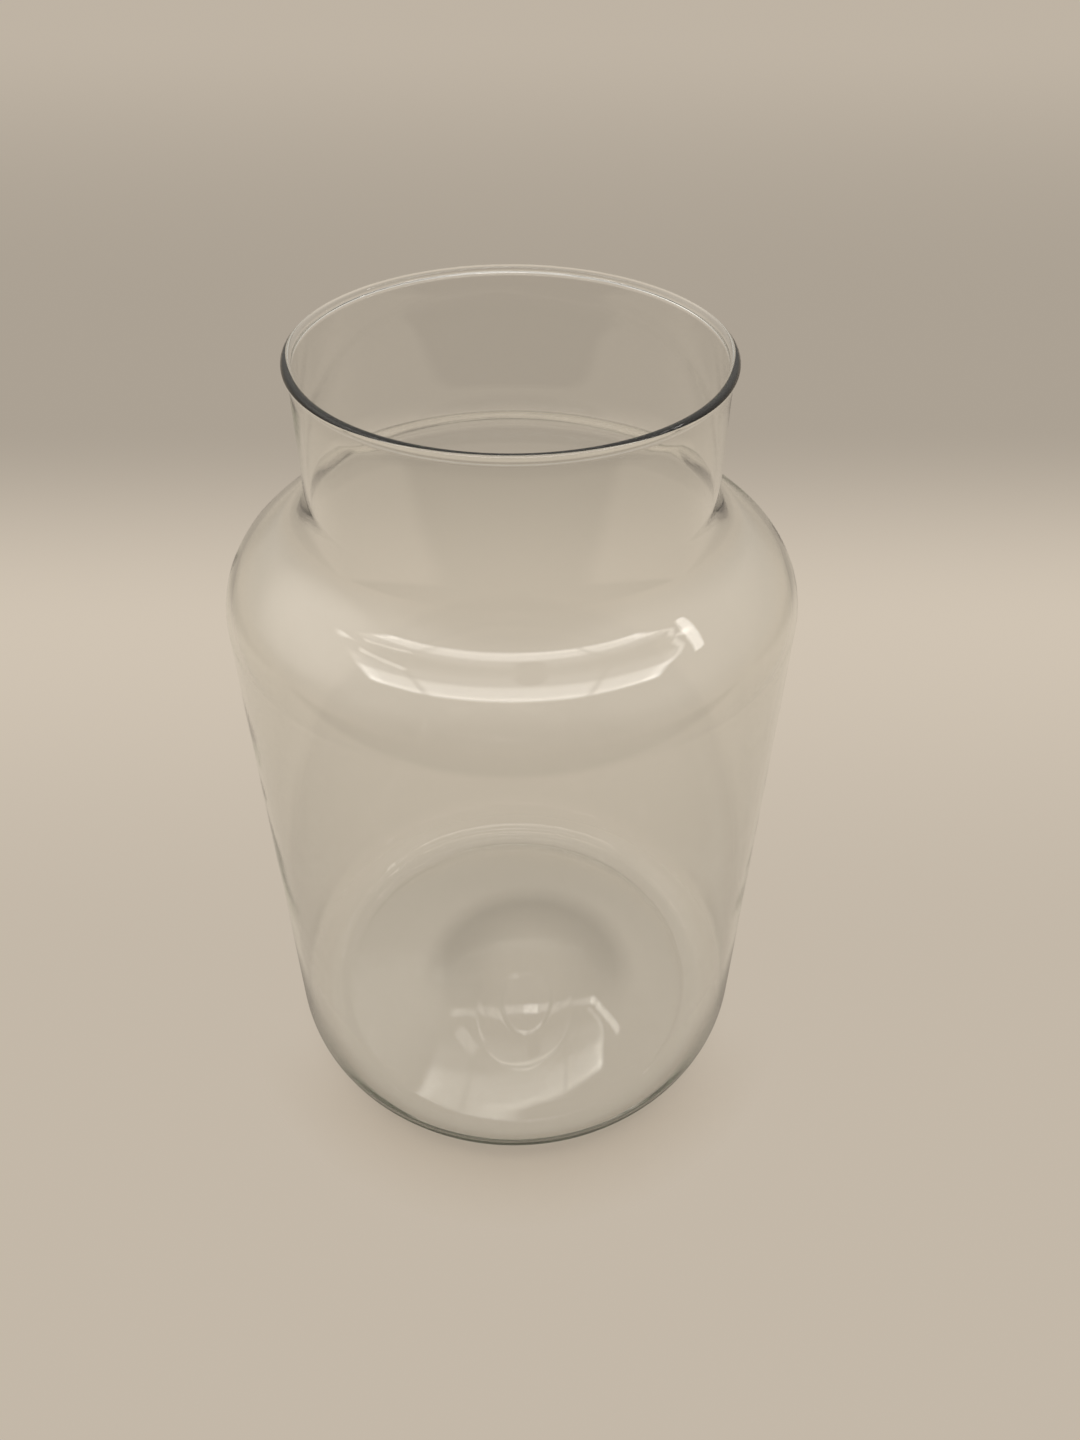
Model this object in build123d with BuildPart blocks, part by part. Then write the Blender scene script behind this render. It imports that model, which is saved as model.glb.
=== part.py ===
from build123d import *
from math import acos, cos, degrees, radians, sin
import os

# A wide-mouthed glass jar with a rounded shoulder, blown in one piece.
# Its wall is drawn once, as a closed section, and turned about the Z axis.
# Millimetres, Z up, origin at the middle of the ring that the jar stands on.

# Body and neck
height = 236.5
body_radius = 75.0
neck_inset = 23.7               # how far the neck stands in from the body's outside
wall = 1.6                      # body and shoulder
neck_wall = 1.3

# Shoulder, from the straight wall up to the neck
shoulder_drop = 66.0            # from the top of the rim down to the end of the straight wall
shoulder_side_radius = 17.5
shoulder_side_turn = 45.0       # degrees turned by the tight curve at the side
shoulder_full_turn = 64.5       # degrees turned where the shoulder passes into the neck's fillet
neck_fillet_radius = 16.0

# Fire-polished rim, flush with the wall on the inside and proud on the outside
rim_proud = 1.1                 # how far the bead stands out from the neck
rim_under_radius = 1.0          # underside of the bead
rim_blend_radius = 1.2          # hollow curve between the neck and the bead

# Heel, standing ring and base
heel_side_radius = 20.0         # wide curve below the straight wall
heel_side_turn = 45.0           # degrees turned by the wide curve
heel_foot_radius = 9.0          # tight curve between it and the ring
ring_width = 1.5
base_thickness = 3.0

# Push-up in the middle of the base, a blunt cone with a rounded top
push_up_top_radius = 85.0
push_up_top_turn = 17.0         # degrees from level at which the top passes into the flank
push_up_flank_turn = 24.5       # degrees from level at the foot of the flank
push_up_root_radius = 5.0       # hollow curve between the flank and the ring


def run(turn_from, turn_to):
    """Inward travel of an arc of radius 1 between two turns from the upright, in degrees."""
    return cos(radians(turn_from)) - cos(radians(turn_to))


def rise(turn_from, turn_to):
    """Upward travel of the same arc."""
    return sin(radians(turn_to)) - sin(radians(turn_from))


# The shoulder's wide upper curve fills what the side curve and the neck's fillet leave
neck_radius = body_radius - neck_inset
shoulder_start = height - shoulder_drop
shoulder_top_radius = (
    neck_inset
    - shoulder_side_radius * run(0, shoulder_side_turn)
    - neck_fillet_radius * run(0, shoulder_full_turn)
) / run(shoulder_side_turn, shoulder_full_turn)

# Inside, the shoulder's curves follow the outside at the wall's thickness, and the curve up
# into the neck fills what they leave
inside_radius = body_radius - wall
mouth_radius = neck_radius - neck_wall
inner_side_radius = shoulder_side_radius - wall
inner_top_radius = shoulder_top_radius - wall
inner_fillet_radius = (
    inside_radius
    - mouth_radius
    - inner_side_radius * run(0, shoulder_side_turn)
    - inner_top_radius * run(shoulder_side_turn, shoulder_full_turn)
) / run(0, shoulder_full_turn)
mouth_start = (
    shoulder_start
    + inner_side_radius * rise(0, shoulder_side_turn)
    + inner_top_radius * rise(shoulder_side_turn, shoulder_full_turn)
    + inner_fillet_radius * rise(0, shoulder_full_turn)
)

# The underside of the rim's bead and the small hollow curve below it turn by the same angle
bead_radius = (neck_wall + rim_proud) / 2
rim_curves = rim_blend_radius + rim_under_radius
blend_turn = degrees(acos(1 - rim_proud / rim_curves))
neck_end = height - bead_radius - rim_curves * sin(radians(blend_turn))

# The heel's two curves, between the straight wall and the ring
heel_run = heel_side_radius * run(0, heel_side_turn) + heel_foot_radius * run(heel_side_turn, 90)
ring_radius = body_radius - heel_run - ring_width

# Inside, one curve joins the wall to the base, so the glass thickens round the heel
heel_inside_radius = inside_radius - ring_radius

# The push-up's flank fills what its top and its root leave inside the ring
push_up_flank_radius = (
    ring_radius
    - push_up_top_radius * rise(0, push_up_top_turn)
    - push_up_root_radius * rise(0, push_up_flank_turn)
) / rise(push_up_top_turn, push_up_flank_turn)
push_up_height = (
    push_up_top_radius * run(0, push_up_top_turn)
    + push_up_flank_radius * run(push_up_top_turn, push_up_flank_turn)
    + push_up_root_radius * run(0, push_up_flank_turn)
)

# Wall of the whole jar
with BuildPart() as jar:
    with BuildSketch(Plane.XZ):
        with BuildLine():
            # Underside, from the axis out to the heel
            top = JernArc((0, push_up_height), (1, 0), push_up_top_radius, -push_up_top_turn)
            flank = JernArc(top @ 1, top % 1, push_up_flank_radius, push_up_top_turn - push_up_flank_turn)
            root = JernArc(flank @ 1, flank % 1, push_up_root_radius, push_up_flank_turn)
            ring = Line(root @ 1, (ring_radius + ring_width, 0))
            heel_foot = JernArc(ring @ 1, (1, 0), heel_foot_radius, 90 - heel_side_turn)
            heel_side = JernArc(heel_foot @ 1, heel_foot % 1, heel_side_radius, heel_side_turn)

            # Outside, up the wall and over the shoulder to the neck
            side = Line(heel_side @ 1, (body_radius, shoulder_start))
            shoulder = JernArc(side @ 1, (0, 1), shoulder_side_radius, shoulder_side_turn)
            shoulder_top = JernArc(
                shoulder @ 1, shoulder % 1, shoulder_top_radius, shoulder_full_turn - shoulder_side_turn
            )
            neck_root = JernArc(
                shoulder_top @ 1, shoulder_top % 1, neck_fillet_radius, -shoulder_full_turn
            )
            neck = Line(neck_root @ 1, (neck_radius, neck_end))

            # Rim, over the top and into the mouth
            blend = JernArc(neck @ 1, (0, 1), rim_blend_radius, -blend_turn)
            bead_under = JernArc(blend @ 1, blend % 1, rim_under_radius, blend_turn)
            bead = JernArc(bead_under @ 1, (0, 1), bead_radius, 180)

            # Inside, down the neck, under the shoulder and down the wall
            mouth = Line(bead @ 1, (mouth_radius, mouth_start))
            inner_neck_root = JernArc(mouth @ 1, (0, -1), inner_fillet_radius, shoulder_full_turn)
            inner_shoulder_top = JernArc(
                inner_neck_root @ 1,
                inner_neck_root % 1,
                inner_top_radius,
                shoulder_side_turn - shoulder_full_turn,
            )
            inner_shoulder = JernArc(
                inner_shoulder_top @ 1, inner_shoulder_top % 1, inner_side_radius, -shoulder_side_turn
            )
            inner_side = Line(inner_shoulder @ 1, (inside_radius, base_thickness + heel_inside_radius))

            # Inside of the base, back to the axis
            inner_heel = JernArc(inner_side @ 1, (0, -1), heel_inside_radius, -90)
            inner_root = JernArc(
                inner_heel @ 1, (-1, 0), push_up_root_radius - base_thickness, -push_up_flank_turn
            )
            inner_flank = JernArc(
                inner_root @ 1,
                inner_root % 1,
                push_up_flank_radius + base_thickness,
                push_up_flank_turn - push_up_top_turn,
            )
            inner_top = JernArc(
                inner_flank @ 1, inner_flank % 1, push_up_top_radius + base_thickness, push_up_top_turn
            )
            Line(inner_top @ 1, top @ 0)
        make_face()
    revolve(axis=Axis.Z)

os.makedirs("parts", exist_ok=True)
jar.part.label = "jar"
export_step(jar.part, "parts/jar.step")
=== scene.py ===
from math import acos, atan2, cos, degrees, pi, radians, sin

import bmesh
import bpy
from mathutils import Matrix, Vector


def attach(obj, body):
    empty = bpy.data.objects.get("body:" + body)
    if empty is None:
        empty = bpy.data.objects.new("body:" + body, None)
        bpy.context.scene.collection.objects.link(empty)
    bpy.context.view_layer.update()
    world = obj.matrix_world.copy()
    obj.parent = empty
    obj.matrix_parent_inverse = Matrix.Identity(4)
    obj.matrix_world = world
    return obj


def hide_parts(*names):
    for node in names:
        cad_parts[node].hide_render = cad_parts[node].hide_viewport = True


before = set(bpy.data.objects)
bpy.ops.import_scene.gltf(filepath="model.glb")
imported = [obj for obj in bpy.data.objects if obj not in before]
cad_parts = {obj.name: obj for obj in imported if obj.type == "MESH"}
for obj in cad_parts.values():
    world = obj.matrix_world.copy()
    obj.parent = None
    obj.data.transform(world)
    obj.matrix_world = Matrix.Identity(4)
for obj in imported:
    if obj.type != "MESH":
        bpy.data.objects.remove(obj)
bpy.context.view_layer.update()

MM = 0.001

# Camera, fitted to the outlines of the jar
camera_place = Vector((0.0, -253.1, 345.5)) * MM
camera_pitch = 0.7238           # radians below the horizon
camera_yaw = 0.0299             # towards +X
camera_roll = 0.0116
focal_px = 1141.5               # for an image of image_rows
image_rows = 1440
sensor_height = 36.0
clip_range = (0.01, 50.0)       # metres

# Body and neck, millimetres
height = 236.5
body_radius = 75.0
neck_inset = 23.7
wall = 1.6
neck_wall = 1.3

# Shoulder
shoulder_drop = 66.0
shoulder_side_radius = 17.5
shoulder_side_turn = 45.0
shoulder_full_turn = 64.5
neck_fillet_radius = 16.0

# Rim
rim_proud = 1.1
rim_under_radius = 1.0
rim_blend_radius = 1.2

# Heel and base
heel_side_radius = 20.0
heel_side_turn = 45.0
heel_foot_radius = 9.0
ring_width = 1.5
base_thickness = 3.0

# Push-up
push_up_top_radius = 85.0
push_up_top_turn = 17.0
push_up_flank_turn = 24.5
push_up_root_radius = 5.0
push_up_off_centre = 4.8        # towards +X, by chance of the blowing
off_centre_fade = 4             # how late the rings of the push-up come back to the axis, a power

# Unevenness of the blown wall, all of it on the inside
steps_around = 288
wave_depth = 0.16
wave_top_gap = 3.0              # even for this far below the top
wave_top_fade = 12.0
wave_low_start = 14.0           # even below this height
wave_low_fade = 25.0

# The floor lies clear of the ring that the jar stands on
floor_drop = 0.2
floor_radius = 6.0              # metres
floor_segments = 96

# Light crosses the thick glass of the heel and the rim many times
glass_bounces = 96
clear_bounces = 16


def run(turn_from, turn_to):
    """Inward travel of an arc of radius 1 between two turns from the upright, in degrees."""
    return cos(radians(turn_from)) - cos(radians(turn_to))


def rise(turn_from, turn_to):
    """Upward travel of the same arc."""
    return sin(radians(turn_to)) - sin(radians(turn_from))


neck_radius = body_radius - neck_inset
shoulder_start = height - shoulder_drop
shoulder_top_turn = shoulder_full_turn - shoulder_side_turn
shoulder_top_radius = (
    neck_inset
    - shoulder_side_radius * run(0, shoulder_side_turn)
    - neck_fillet_radius * run(0, shoulder_full_turn)
) / run(shoulder_side_turn, shoulder_full_turn)
neck_start = (
    shoulder_start
    + shoulder_side_radius * rise(0, shoulder_side_turn)
    + shoulder_top_radius * rise(shoulder_side_turn, shoulder_full_turn)
    + neck_fillet_radius * rise(0, shoulder_full_turn)
)
inside_radius = body_radius - wall
mouth_radius = neck_radius - neck_wall
inner_side_radius = shoulder_side_radius - wall
inner_top_radius = shoulder_top_radius - wall
inner_fillet_radius = (
    inside_radius
    - mouth_radius
    - inner_side_radius * run(0, shoulder_side_turn)
    - inner_top_radius * run(shoulder_side_turn, shoulder_full_turn)
) / run(0, shoulder_full_turn)
mouth_start = (
    shoulder_start
    + inner_side_radius * rise(0, shoulder_side_turn)
    + inner_top_radius * rise(shoulder_side_turn, shoulder_full_turn)
    + inner_fillet_radius * rise(0, shoulder_full_turn)
)
bead_radius = (neck_wall + rim_proud) / 2
rim_curves = rim_blend_radius + rim_under_radius
blend_turn = degrees(acos(1 - rim_proud / rim_curves))
neck_end = height - bead_radius - rim_curves * sin(radians(blend_turn))
heel_run = heel_side_radius * run(0, heel_side_turn) + heel_foot_radius * run(heel_side_turn, 90)
heel_height = heel_side_radius * rise(0, heel_side_turn) + heel_foot_radius * rise(heel_side_turn, 90)
ring_radius = body_radius - heel_run - ring_width
heel_inside_radius = inside_radius - ring_radius
push_up_flank_radius = (
    ring_radius
    - push_up_top_radius * rise(0, push_up_top_turn)
    - push_up_root_radius * rise(0, push_up_flank_turn)
) / rise(push_up_top_turn, push_up_flank_turn)
push_up_height = (
    push_up_top_radius * run(0, push_up_top_turn)
    + push_up_flank_radius * run(push_up_top_turn, push_up_flank_turn)
    + push_up_root_radius * run(0, push_up_flank_turn)
)


class Pen:
    """Draws the section in the X-Z plane from straight runs and arcs, each tangent to the last."""

    def __init__(self, x, z, heading):
        self.points = [(x, z)]
        self.heading = heading

    def go(self, length, steps=1):
        x, z = self.points[-1]
        dx, dz = cos(radians(self.heading)), sin(radians(self.heading))
        for i in range(1, steps + 1):
            self.points.append((x + dx * length * i / steps, z + dz * length * i / steps))

    def turn(self, radius, angle, steps):
        """An arc to the left for a positive angle and to the right for a negative one."""
        side = 1 if angle > 0 else -1
        x, z = self.points[-1]
        start = radians(self.heading - 90 * side)
        cx, cz = x - radius * cos(start), z - radius * sin(start)
        for i in range(1, steps + 1):
            at = start + radians(angle) * i / steps
            self.points.append((cx + radius * cos(at), cz + radius * sin(at)))
        self.heading += angle


def section():
    """Points of the wall, from the axis of the underside to that of the inside, and how many of
    them are outside.
    """
    pen = Pen(0.0, push_up_height, 0)
    pen.turn(push_up_top_radius, -push_up_top_turn, steps=14)
    pen.turn(push_up_flank_radius, push_up_top_turn - push_up_flank_turn, steps=14)
    pen.turn(push_up_root_radius, push_up_flank_turn, steps=8)
    pen.go(ring_width)
    pen.turn(heel_foot_radius, 90 - heel_side_turn, steps=10)
    pen.turn(heel_side_radius, heel_side_turn, steps=12)
    pen.go(shoulder_start - heel_height, steps=40)
    pen.turn(shoulder_side_radius, shoulder_side_turn, steps=12)
    pen.turn(shoulder_top_radius, shoulder_top_turn, steps=8)
    pen.turn(neck_fillet_radius, -shoulder_full_turn, steps=20)
    pen.go(neck_end - neck_start, steps=10)
    pen.turn(rim_blend_radius, -blend_turn, steps=6)
    pen.turn(rim_under_radius, blend_turn, steps=6)
    pen.turn(bead_radius, 180, steps=20)
    outside = len(pen.points)
    pen.go(height - bead_radius - mouth_start, steps=10)
    pen.turn(inner_fillet_radius, shoulder_full_turn, steps=20)
    pen.turn(inner_top_radius, -shoulder_top_turn, steps=8)
    pen.turn(inner_side_radius, -shoulder_side_turn, steps=12)
    pen.go(shoulder_start - base_thickness - heel_inside_radius, steps=40)
    pen.turn(heel_inside_radius, -90, steps=18)
    pen.turn(push_up_root_radius - base_thickness, -push_up_flank_turn, steps=8)
    pen.turn(push_up_flank_radius + base_thickness, push_up_flank_turn - push_up_top_turn, steps=14)
    pen.turn(push_up_top_radius + base_thickness, push_up_top_turn, steps=14)
    return pen.points, outside


def clamp(value):
    return min(1.0, max(0.0, value))


def waves(angle, z):
    """Unevenness of the blown wall at a place, from 0 to 1: broad swells, upright streaks and
    level rings, each with its strength, its number of waves and where it starts.
    """
    swell = sin(2 * angle + z / 38.0 + 0.6) + 0.7 * sin(3 * angle - z / 55.0 + 2.1)
    streaks = 0.35 * sin(7 * angle + 0.8 * sin(z / 60.0)) + 0.2 * sin(13 * angle + 1.3)
    rings = 0.3 * sin(z / 9.0 + 0.7 * sin(angle))
    strengths = 2 * (1 + 0.7 + 0.35 + 0.2 + 0.3)
    return clamp(0.5 + (swell + streaks + rings) / strengths)


def wave_share(z):
    """How much of the unevenness is there at a height: none near the rim and in the base."""
    top = clamp((height - wave_top_gap - z) / wave_top_fade)
    low = clamp((z - wave_low_start) / wave_low_fade)
    return top * low


def push_up_shift(r, z):
    """How far a ring of the push-up sits off the axis, less and less towards the standing ring."""
    if z >= push_up_height + base_thickness:
        return 0.0
    return push_up_off_centre * max(0.0, 1 - (r / ring_radius) ** off_centre_fade)


def build_jar():
    points, outside = section()
    mesh = bmesh.new()
    low_pole = mesh.verts.new(Vector((push_up_off_centre, 0, points[0][1])) * MM)
    high_pole = mesh.verts.new(Vector((push_up_off_centre, 0, points[-1][1])) * MM)
    rings = []
    for i, (x, z) in enumerate(points[1:-1], 1):
        ring = []
        for k in range(steps_around):
            angle = 2 * pi * k / steps_around
            r = x
            if i > outside:
                r -= wave_depth * wave_share(z) * waves(angle, z)
            across = r * cos(angle) + push_up_shift(r, z)
            ring.append(mesh.verts.new(Vector((across, r * sin(angle), z)) * MM))
        rings.append(ring)
    for a, b in zip(rings, rings[1:]):
        for k in range(steps_around):
            n = (k + 1) % steps_around
            mesh.faces.new((a[k], a[n], b[n], b[k]))
    for k in range(steps_around):
        n = (k + 1) % steps_around
        mesh.faces.new((low_pole, rings[0][n], rings[0][k]))
        mesh.faces.new((high_pole, rings[-1][k], rings[-1][n]))
    for face in mesh.faces:
        face.smooth = True
    bmesh.ops.recalc_face_normals(mesh, faces=mesh.faces)
    data = bpy.data.meshes.new("blown_jar")
    mesh.to_mesh(data)
    mesh.free()
    jar = bpy.data.objects.new("blown_jar", data)
    bpy.context.scene.collection.objects.link(jar)
    return jar


def glass_material():
    mat = bpy.data.materials.new("blown_glass")
    mat.use_nodes = True
    nodes, links = mat.node_tree.nodes, mat.node_tree.links
    nodes.clear()
    out = nodes.new("ShaderNodeOutputMaterial")
    glass = nodes.new("ShaderNodeBsdfPrincipled")
    glass.inputs["Base Color"].default_value = (0.982, 0.977, 0.966, 1)
    glass.inputs["Roughness"].default_value = 0.0
    glass.inputs["IOR"].default_value = 1.5
    glass.inputs["Transmission Weight"].default_value = 1.0
    links.new(glass.outputs["BSDF"], out.inputs["Surface"])

    # Soft ripples of the blown surface
    place = nodes.new("ShaderNodeTexCoord")
    ripple = nodes.new("ShaderNodeTexNoise")
    ripple.inputs["Scale"].default_value = 42.0
    ripple.inputs["Detail"].default_value = 1.0
    links.new(place.outputs["Object"], ripple.inputs["Vector"])
    bump = nodes.new("ShaderNodeBump")
    bump.inputs["Strength"].default_value = 0.2
    bump.inputs["Distance"].default_value = 0.0004
    links.new(ripple.outputs["Fac"], bump.inputs["Height"])
    links.new(bump.outputs["Normal"], glass.inputs["Normal"])

    # Faint green of plain soda-lime glass, seen where the eye looks along the wall
    tint = nodes.new("ShaderNodeVolumeAbsorption")
    tint.inputs["Color"].default_value = (0.4, 0.49, 0.37, 1)
    tint.inputs["Density"].default_value = 22.0
    links.new(tint.outputs["Volume"], out.inputs["Volume"])
    return mat


def ramp(nodes, stops):
    """A colour ramp with the given places and colours."""
    node = nodes.new("ShaderNodeValToRGB")
    while len(node.color_ramp.elements) < len(stops):
        node.color_ramp.elements.new(0.5)
    for element, (at, colour) in zip(node.color_ramp.elements, stops):
        element.position = at
        element.color = (*colour, 1)
    return node


def maths(nodes, links):
    """A function that adds a Math node for numbers and sockets and gives its output."""
    def math(operation, *inputs):
        node = nodes.new("ShaderNodeMath")
        node.operation = operation
        for socket, value in zip(node.inputs, inputs):
            if isinstance(value, float):
                socket.default_value = value
            else:
                links.new(value, socket)
        return node.outputs[0]
    return math


def vector_math(nodes, links, operation, socket, vector):
    """A Vector Math node between a socket and a fixed vector."""
    node = nodes.new("ShaderNodeVectorMath")
    node.operation = operation
    links.new(socket, node.inputs[0])
    node.inputs[1].default_value = vector
    return node


def smooth(nodes, links, value, places, levels):
    """Goes softly from the first level to the second between two places."""
    node = nodes.new("ShaderNodeMapRange")
    node.interpolation_type = "SMOOTHSTEP"
    node.inputs["From Min"].default_value, node.inputs["From Max"].default_value = places
    node.inputs["To Min"].default_value, node.inputs["To Max"].default_value = levels
    links.new(value, node.inputs["Value"])
    return node.outputs["Result"]


def profile(nodes, links, value, stops):
    """A number that goes straight from stop to stop, each a place and its level."""
    start, end = stops[0][0], stops[-1][0]
    peak = max(level for at, level in stops)
    scale = nodes.new("ShaderNodeMapRange")
    scale.inputs["From Min"].default_value = start
    scale.inputs["From Max"].default_value = end
    links.new(value, scale.inputs["Value"])
    levels = ramp(nodes, [((at - start) / (end - start), (level / peak,) * 3) for at, level in stops])
    links.new(scale.outputs["Result"], levels.inputs["Fac"])
    return maths(nodes, links)("MULTIPLY", levels.outputs["Color"], peak)


def in_reflections(nodes, links, path, factor):
    """The factor for rays that the glass has mirrored, outside or inside, and 1 for all others."""
    math = maths(nodes, links)
    mirrored = math("MINIMUM", path.outputs["Glossy Depth"], 1.0)
    return math("SUBTRACT", 1.0, math("MULTIPLY", mirrored, math("SUBTRACT", 1.0, factor)))


# Colour of the sweep and its brightness in front of the jar. Behind the jar its brightness changes
# softly three times, in painted light and shade: to a pale band where the light falls, a darker band
# of painted shade and the pale far end: for each the distances behind the jar, metres, and the
# change.
FLOOR_COLOUR = (1.0, 0.872, 0.715)
FLOOR_BRIGHTNESS = 0.55
FLOOR_PAINTED_LIGHT = (
    ((0.0, 0.21), 0.08),
    ((0.21, 0.43), -0.22),
    ((0.6, 1.6), 0.11),
)
FAR_BRIGHTNESS = FLOOR_BRIGHTNESS + sum(change for distances, change in FLOOR_PAINTED_LIGHT)
HORIZON = tuple(FAR_BRIGHTNESS * level for level in FLOOR_COLOUR)

# Share of the sweep's tone that it shows as a glow, painted light that stands in for the lit sweep
# where the camera and the glass see it, by distance from the jar's axis, metres: less under the clear
# base than outside. The rest is lit, and takes the shadow.
GLOW_SHARES = ((0.0, 0.78), (0.064, 0.78), (0.078, 1.0), (0.2, 1.0))

# Painted shade on the sweep, which there shows less of its glow and more of its real, lit look, by
# distance from the jar's axis and from the push-up's middle: under the heel, only at the front, and
# under the edge of the push-up, only at the back. For each the Y between which it fades.
HEEL_SHADE = ((0.064, 0.0), (0.070, 0.45), (0.077, 0.45), (0.096, 0.0))
HEEL_FRONT = (-0.065, -0.02)
PUSH_UP_SHADE = ((0.010, 0.0), (0.024, 0.35), (0.031, 0.45), (0.039, 0.0))
PUSH_UP_BACK = (-0.025, 0.012)

# Painted shade in what the glass mirrors, for no other rays: the sweep is darkened in front of the
# jar, standing in for the dark side of the room, and close to the jar, which draws the dark edge of
# the heel: for each the places and the levels
DARK_FRONT = ((-0.31, -0.24), (0.2, 1.0))
DARK_CLOSE = ((0.079, 0.094), (0.55, 1.0))


def floor_material():
    mat = bpy.data.materials.new("sweep")
    mat.use_nodes = True
    nodes, links = mat.node_tree.nodes, mat.node_tree.links
    nodes.clear()
    out = nodes.new("ShaderNodeOutputMaterial")
    place = nodes.new("ShaderNodeNewGeometry")
    split = nodes.new("ShaderNodeSeparateXYZ")
    links.new(place.outputs["Position"], split.inputs[0])
    math = maths(nodes, links)
    position, y = place.outputs["Position"], split.outputs["Y"]
    # Painted light and shade: the sweep's brightness rises and falls in bands behind the jar
    brightness = FLOOR_BRIGHTNESS
    for distances, change in FLOOR_PAINTED_LIGHT:
        brightness = math("ADD", brightness, smooth(nodes, links, y, distances, (0.0, change)))

    reach = vector_math(nodes, links, "DISTANCE", position, (0, 0, 0)).outputs["Value"]
    path = nodes.new("ShaderNodeLightPath")
    # Painted shade only in reflections: the sweep is darker in front of the jar and close to it
    dark_front = smooth(nodes, links, y, *DARK_FRONT)
    dark_close = smooth(nodes, links, reach, *DARK_CLOSE)
    darkness = in_reflections(nodes, links, path, math("MULTIPLY", dark_front, dark_close))
    tone = nodes.new("ShaderNodeVectorMath")
    tone.operation = "SCALE"
    tone.inputs[0].default_value = FLOOR_COLOUR
    links.new(math("MULTIPLY", brightness, darkness), tone.inputs["Scale"])
    paper = nodes.new("ShaderNodeBsdfDiffuse")
    links.new(tone.outputs["Vector"], paper.inputs["Color"])
    # Painted light: the sweep glows with its tone, though it is no lamp, for the camera and for what
    # the glass mirrors and lets through
    glow = nodes.new("ShaderNodeEmission")
    links.new(tone.outputs["Vector"], glow.inputs["Color"])

    own = profile(nodes, links, reach, GLOW_SHARES)
    heel = profile(nodes, links, reach, HEEL_SHADE)
    front = smooth(nodes, links, y, HEEL_FRONT, (1.0, 0.0))
    lit_heel = math("SUBTRACT", 1.0, math("MULTIPLY", heel, front))
    middle = (push_up_off_centre * MM, 0, 0)
    from_middle = vector_math(nodes, links, "DISTANCE", position, middle).outputs["Value"]
    edge = profile(nodes, links, from_middle, PUSH_UP_SHADE)
    back = smooth(nodes, links, y, PUSH_UP_BACK, (0.0, 1.0))
    lit_edge = math("SUBTRACT", 1.0, math("MULTIPLY", edge, back))
    share = math("MULTIPLY", own, math("MULTIPLY", lit_heel, lit_edge))

    seen = math("MAXIMUM", path.outputs["Is Camera Ray"], path.outputs["Is Glossy Ray"])
    seen = math("MAXIMUM", seen, path.outputs["Is Transmission Ray"])
    mix = nodes.new("ShaderNodeMixShader")
    links.new(math("MULTIPLY", seen, share), mix.inputs[0])
    links.new(paper.outputs[0], mix.inputs[1])
    links.new(glow.outputs[0], mix.inputs[2])
    links.new(mix.outputs[0], out.inputs["Surface"])
    return mat


def build_floor():
    mesh = bmesh.new()
    bmesh.ops.create_circle(mesh, cap_ends=True, radius=floor_radius, segments=floor_segments)
    data = bpy.data.meshes.new("sweep")
    mesh.to_mesh(data)
    mesh.free()
    floor = bpy.data.objects.new("sweep", data)
    bpy.context.scene.collection.objects.link(floor)
    floor.location.z = -floor_drop * MM
    data.materials.append(floor_material())


# Colour of the room by the sine of the height above the horizon
ROOM_TONES = (
    (0.0, HORIZON),
    (0.25, (0.54, 0.51, 0.46)),
    (0.60, (0.91, 0.865, 0.80)),
    (1.0, (0.91, 0.865, 0.80)),
)

# Mirrored in the glass, the camera's side of the room is darker: directions in Y and the levels
NEAR_SIDE = ((-0.85, -0.35), (0.4, 1.0))

# A window's soft glow from the left: where it is, how wide, degrees, and how bright
WINDOW = Vector((-0.78, 0.24, 0.58)).normalized()
WINDOW_EDGES = (30.0, 6.0)
WINDOW_LEVELS = (1.0, 1.7)


def build_world():
    world = bpy.data.worlds.new("studio")
    bpy.context.scene.world = world
    world.use_nodes = True
    nodes, links = world.node_tree.nodes, world.node_tree.links
    nodes.clear()
    out = nodes.new("ShaderNodeOutputWorld")
    sky = nodes.new("ShaderNodeBackground")
    place = nodes.new("ShaderNodeTexCoord")
    split = nodes.new("ShaderNodeSeparateXYZ")
    links.new(place.outputs["Generated"], split.inputs[0])
    room = ramp(nodes, ROOM_TONES)
    links.new(split.outputs["Z"], room.inputs["Fac"])
    links.new(room.outputs["Color"], sky.inputs["Color"])

    near = smooth(nodes, links, split.outputs["Y"], *NEAR_SIDE)
    near = in_reflections(nodes, links, nodes.new("ShaderNodeLightPath"), near)
    facing = vector_math(nodes, links, "DOT_PRODUCT", place.outputs["Generated"], WINDOW)
    edges = [cos(radians(angle)) for angle in WINDOW_EDGES]
    glow = smooth(nodes, links, facing.outputs["Value"], edges, WINDOW_LEVELS)
    links.new(maths(nodes, links)("MULTIPLY", near, glow), sky.inputs["Strength"])
    links.new(sky.outputs[0], out.inputs["Surface"])


# The lamp above the jar, metres
LIGHT_COLOUR = (1.0, 0.97, 0.925)
LAMP_PLACE = (0.0, -0.075, 0.49)
LAMP_SIZE = (0.66, 0.38)
LAMP_BOW = 1.1                  # it bows towards +Y at its ends

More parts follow.
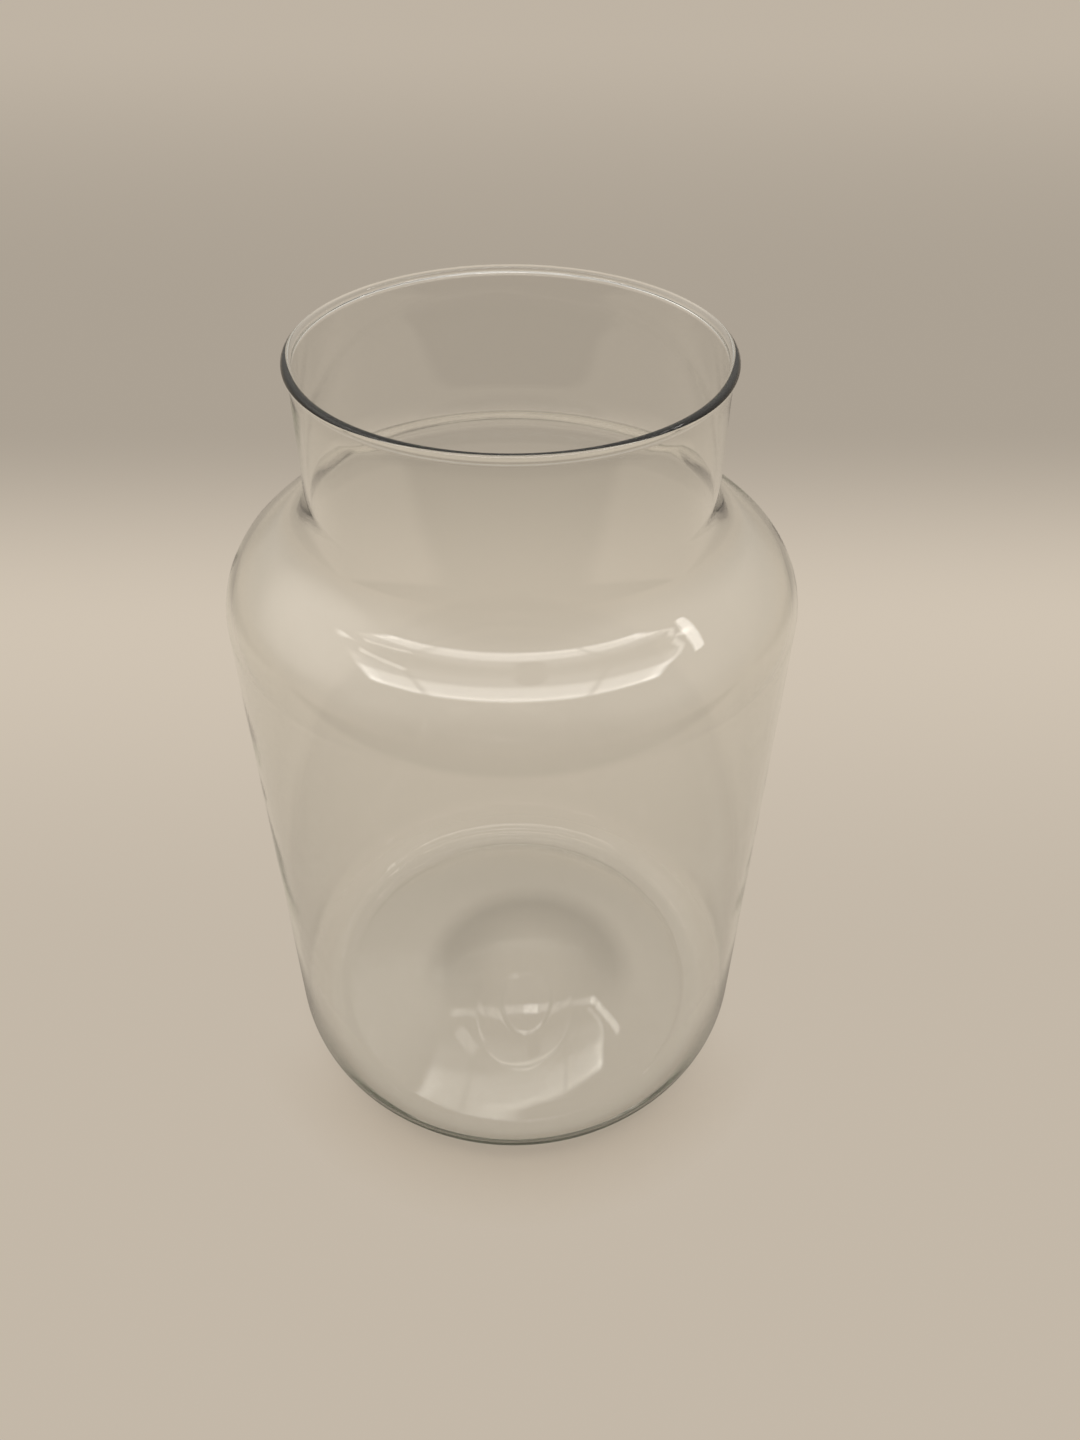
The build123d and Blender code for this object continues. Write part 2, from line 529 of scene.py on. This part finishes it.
# Radiance across the lamp by distance in Y, and how it varies along X
LAMP_ACROSS = (
    (-0.222, 0.0),
    (-0.205, 4.0),
    (-0.188, 2.5),
    (-0.160, 2.4),
    (-0.148, 2.2),
    (-0.134, 0.7),
    (-0.100, 0.5),
    (-0.070, 0.0),
    (-0.038, 0.0),
    (-0.030, 1.5),
    (-0.020, 1.5),
    (-0.010, 0.0),
)
LAMP_ALONG = (
    (-0.292, 0.0),
    (-0.272, 1.7),
    (-0.245, 1.1),
    (-0.200, 1.0),
    (-0.178, 1.0),
    (-0.170, 0.45),
    (-0.164, 0.45),
    (-0.156, 1.0),
    (0.130, 1.0),
    (0.137, 0.45),
    (0.143, 0.45),
    (0.150, 1.0),
    (0.200, 1.0),
    (0.245, 1.1),
    (0.275, 1.7),
    (0.295, 0.0),
)

# Dark fitting in the lamp, a soft-edged oval
FITTING_MIDDLE = (0.025, -0.1)
FITTING_RADII = (0.026, 0.034)
FITTING_EDGE = (0.8, 1.1)       # shares of the radii

# Bars of light just below the lamp: along its two ends, over its far edge and to the right of it
BAR_HEIGHT = 0.487
END_BARS = (
    ("right", 0.018, ((0.25, 0.026), (0.29, 0.004), (0.292, -0.035), (0.277, -0.066))),
    ("left", 0.016, ((-0.24, 0.002), (-0.188, -0.05), (-0.165, -0.072))),
)
END_BAR_RADIANCE = 1.6


def panel(name, place, size, radiance):
    """A flat soft light that shines down. Radiance is its brightness where white is 1."""
    data = bpy.data.lights.new(name, "AREA")
    data.shape = "RECTANGLE"
    data.size, data.size_y = size
    data.energy = radiance * pi * size[0] * size[1]
    data.color = LIGHT_COLOUR
    light = bpy.data.objects.new(name, data)
    bpy.context.scene.collection.objects.link(light)
    light.location = place
    return light


def bar(name, start, end, width, radiance):
    """A bar of light from one place to another, just below the lamp."""
    start = Vector((*start, BAR_HEIGHT))
    end = Vector((*end, BAR_HEIGHT))
    light = panel(name, (start + end) / 2, ((end - start).length, width), radiance)
    light.rotation_euler = (0, 0, atan2(end.y - start.y, end.x - start.x))


def lamp_pattern(data):
    """Draws a bright bar, a dim middle with a dark fitting in it and a thin far edge on the lamp."""
    data.use_nodes = True
    nodes, links = data.node_tree.nodes, data.node_tree.links
    nodes.clear()
    out = nodes.new("ShaderNodeOutputLight")
    glow = nodes.new("ShaderNodeEmission")
    place = nodes.new("ShaderNodeNewGeometry")
    split = nodes.new("ShaderNodeSeparateXYZ")
    links.new(place.outputs["Position"], split.inputs[0])

    math = maths(nodes, links)
    x, y = split.outputs["X"], split.outputs["Y"]
    bowed = math("MULTIPLY_ADD", math("MULTIPLY", x, x), -LAMP_BOW, y)
    across = profile(nodes, links, bowed, LAMP_ACROSS)
    along = profile(nodes, links, x, LAMP_ALONG)
    off_x, off_y = (
        math("DIVIDE", math("SUBTRACT", at, middle), radius)
        for at, middle, radius in zip((x, y), FITTING_MIDDLE, FITTING_RADII)
    )
    off = math("SQRT", math("MULTIPLY_ADD", off_x, off_x, math("MULTIPLY", off_y, off_y)))
    clear = smooth(nodes, links, off, FITTING_EDGE, (0.0, 1.0))
    links.new(math("MULTIPLY", math("MULTIPLY", across, along), clear), glow.inputs["Strength"])
    links.new(glow.outputs[0], out.inputs["Surface"])


def build_lights():
    lamp = panel("lamp", LAMP_PLACE, LAMP_SIZE, radiance=1.0)
    lamp_pattern(lamp.data)
    for name, width, places in END_BARS:
        for i, (start, end) in enumerate(zip(places, places[1:])):
            bar("light_%s_%d" % (name, i), start, end, width, END_BAR_RADIANCE)
    panel("light_spot", (0.011, -0.024, BAR_HEIGHT), size=(0.06, 0.022), radiance=2.2)
    bar("light_side", (0.275, 0.066), (0.37, 0.0), width=0.035, radiance=3.5)


def build_camera():
    data = bpy.data.cameras.new("camera")
    data.sensor_fit = "VERTICAL"
    data.sensor_height = sensor_height
    data.lens = sensor_height * focal_px / image_rows
    data.clip_start, data.clip_end = clip_range
    camera = bpy.data.objects.new("camera", data)
    bpy.context.scene.collection.objects.link(camera)
    forward = Vector((
        sin(camera_yaw) * cos(camera_pitch),
        cos(camera_yaw) * cos(camera_pitch),
        -sin(camera_pitch),
    ))
    right = Vector((cos(camera_yaw), -sin(camera_yaw), 0))
    up = right.cross(forward)
    across = right * cos(camera_roll) + up * sin(camera_roll)
    above = up * cos(camera_roll) - right * sin(camera_roll)
    turn = Matrix((across, above, -forward)).transposed()
    camera.matrix_world = Matrix.Translation(camera_place) @ turn.to_4x4()
    bpy.context.scene.camera = camera


build_camera()
build_floor()
build_world()
build_lights()

jar = build_jar()
jar.data.materials.append(glass_material())
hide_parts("jar")
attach(jar, "root")

scene = bpy.context.scene
scene.view_settings.view_transform = "Standard"
scene.cycles.max_bounces = glass_bounces
scene.cycles.transmission_bounces = glass_bounces
scene.cycles.glossy_bounces = glass_bounces
scene.cycles.transparent_max_bounces = clear_bounces
